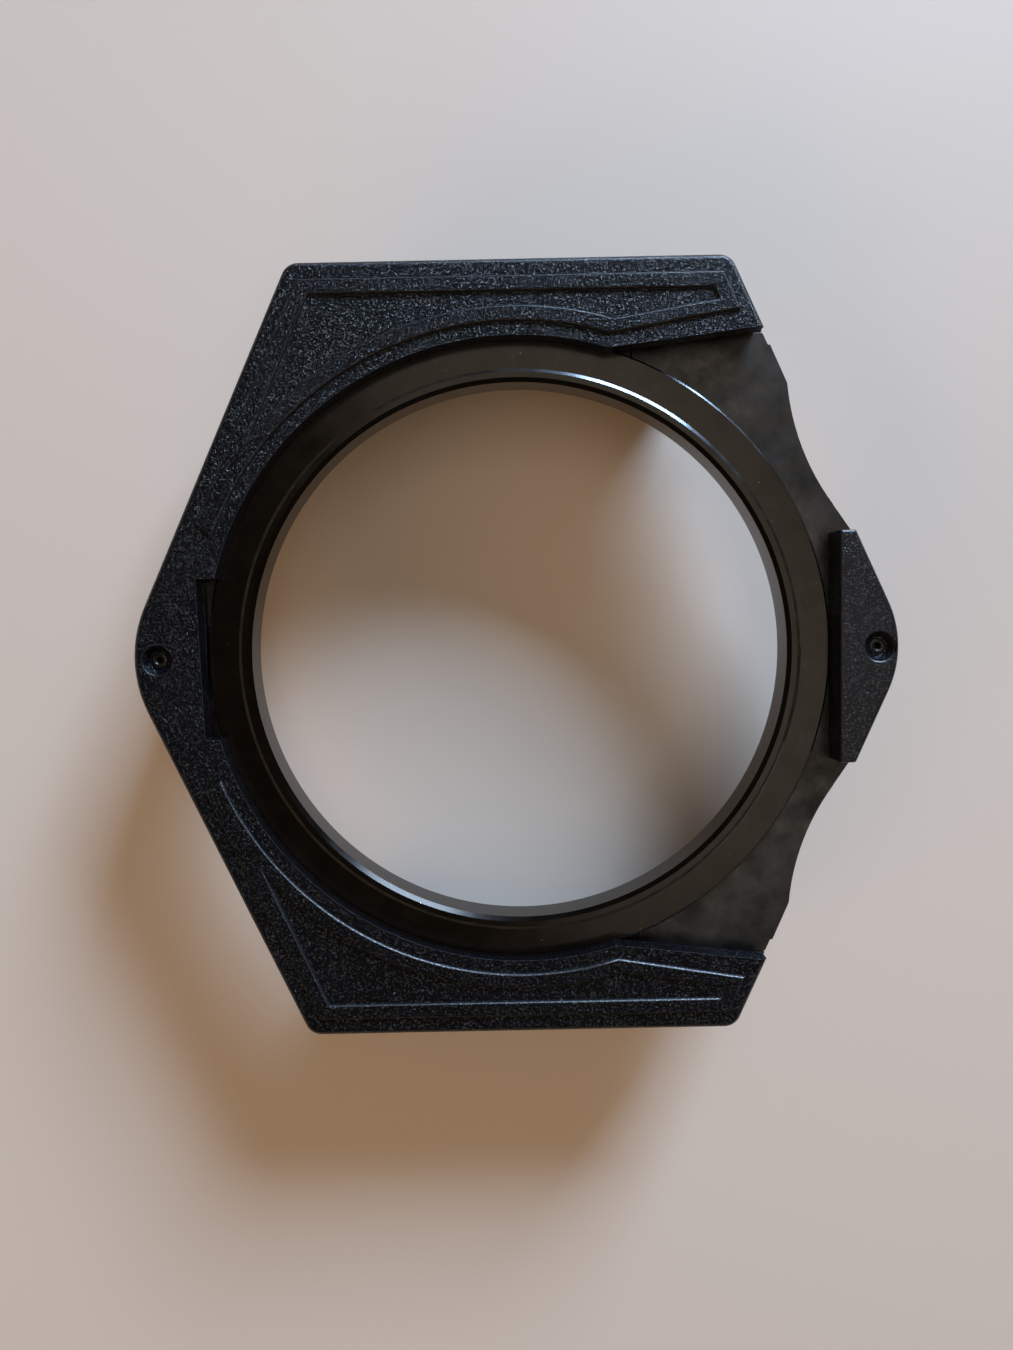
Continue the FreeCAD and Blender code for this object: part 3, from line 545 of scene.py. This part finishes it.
# (radius, height) in millimetres, from the shank out over the rolled lip and down into the hollow
RIVET_HEAD = [
    (SHANK_RADIUS, 21.30),
    (1.15, 21.30),
    (1.13, 21.46),
    (1.00, 21.60),
    (0.80, 21.65),
    (0.58, 21.62),
    (0.42, 21.50),
    (HOLLOW_RADIUS, 21.36),
]


def blackened_steel():
    """Chemically blackened steel: a mottled dark skin that wears to grey on the edges."""
    material, tree, shader, place = new_material("blackened_steel", {"Metallic": 1.0})
    mottling = {"Scale": 1 / (0.5 * MM), "Detail": 4.0, "Roughness": 0.6}
    mottle = add_node(tree, "TexNoise", mottling, {"Vector": place})
    pale = add_node(tree, "MapRange", {"From Min": 0.35, "From Max": 0.65}, {0: mottle})
    colours = {"data_type": "RGBA", 6: linear("#1b1b1c"), 7: linear("#343332")}
    colour = add_node(tree, "Mix", colours, {0: pale}, 2)
    worn = {"data_type": "RGBA", 7: linear("#8e8c88")}
    colour = add_node(tree, "Mix", worn, {0: rubbed_edges(tree, 0.15 * MM), 6: colour}, 2)
    tree.links.new(colour, shader.inputs["Base Color"])
    gloss = {"From Min": 0.3, "From Max": 0.7, "To Min": 0.28, "To Max": 0.46}
    tree.links.new(add_node(tree, "MapRange", gloss, {0: mottle}), shader.inputs["Roughness"])
    bump = add_node(tree, "Bump", {"Strength": 0.35, "Distance": 0.02 * MM}, {"Height": mottle})
    tree.links.new(bump, shader.inputs["Normal"])
    return material


BLACKENED_STEEL = blackened_steel()
for node, x, low, body in (
    ("frame_rivet", -49.4, 13.40, "holder"),
    ("latch_rivet", 49.1, 15.40, "latch"),
):
    profile = [(HOLLOW_RADIUS, low), (SHANK_RADIUS, low)] + RIVET_HEAD
    rivet = turned_piece(f"{node}_turned", x * MM, profile, RIVET_STEPS)
    fit_piece(rivet, BLACKENED_STEEL, body, "blackened_steel", node)

# ---- Rail screws ------------------------------------------------------------------------------
# Slotted cheese-head screws, two to a rail, sunk in the front of the rails.  They clamp the rail
# and the base plate to the rear frame.

SCREW_EDGE = 0.08 * MM

for node in ("upper_rail_screws", "lower_rail_screws"):
    screws = moulded_piece(f"{node}_machined", node, SCREW_EDGE)
    fit_piece(screws, BLACKENED_STEEL, "holder", "blackened_steel", node)

# ---- Floor, lights and camera -----------------------------------------------------------------
# A plain pale table, a cool window behind and to the right of the holder, a warm low fill from
# the room on the left, and a small pale ceiling panel that gives the flat glossy faces a sheen.

FLOOR_SIZE = 3.0
CAMERA_PLACE = Vector((-1.758, 5.621, 160.55)) * MM
CAMERA_DEGREES = (-3.528, -0.038, -1.145)

bpy.ops.object.select_all(action="DESELECT")
bpy.ops.mesh.primitive_plane_add(size=FLOOR_SIZE, location=(0, 0, 0))
floor = bpy.context.object
floor.name = "table_top"
laminate = {"Roughness": 0.55, "Base Color": linear("#d5c6b6")}
floor.data.materials.append(new_material("pale_laminate", laminate)[0])


def area_light(name, direction, distance, width, length, watts, colour):
    """A rectangular light that faces the object from a direction; its sizes are in metres."""
    data = bpy.data.lights.new(name, "AREA")
    data.shape = "RECTANGLE"
    data.size = width
    data.size_y = length
    data.energy = watts
    data.color = linear(colour)[:3]
    light = bpy.data.objects.new(name, data)
    bpy.context.scene.collection.objects.link(light)
    way = Vector(direction).normalized()
    light.location = way * distance
    light.rotation_euler = way.to_track_quat("Z", "Y").to_euler()
    return light


area_light("window", (0.38, 0.75, 0.415), 1.3, 0.48, 0.42, 33.0, "#bfdcff")
room = area_light("room", (-0.60, -0.65, 0.40), 1.4, 1.4, 0.8, 8.0, "#ffd1a0")
area_light("ceiling", (0.12, 0.045, 0.80), 0.8, 0.66, 0.36, 1.0, "#fff1e2")
room.visible_glossy = False

world = bpy.data.worlds.new("room_light")
world.use_nodes = True
world.node_tree.nodes["Background"].inputs["Color"].default_value = linear("#ffdbb4")
world.node_tree.nodes["Background"].inputs["Strength"].default_value = 0.13
bpy.context.scene.world = world
bpy.context.scene.view_settings.view_transform = "Standard"

camera_data = bpy.data.cameras.new("camera")
camera_data.sensor_width = 36.0
camera_data.lens = 27.04
camera_data.clip_start = 0.01
camera = bpy.data.objects.new("camera", camera_data)
bpy.context.scene.collection.objects.link(camera)
camera.location = CAMERA_PLACE
camera.rotation_euler = [math.radians(angle) for angle in CAMERA_DEGREES]
bpy.context.scene.camera = camera
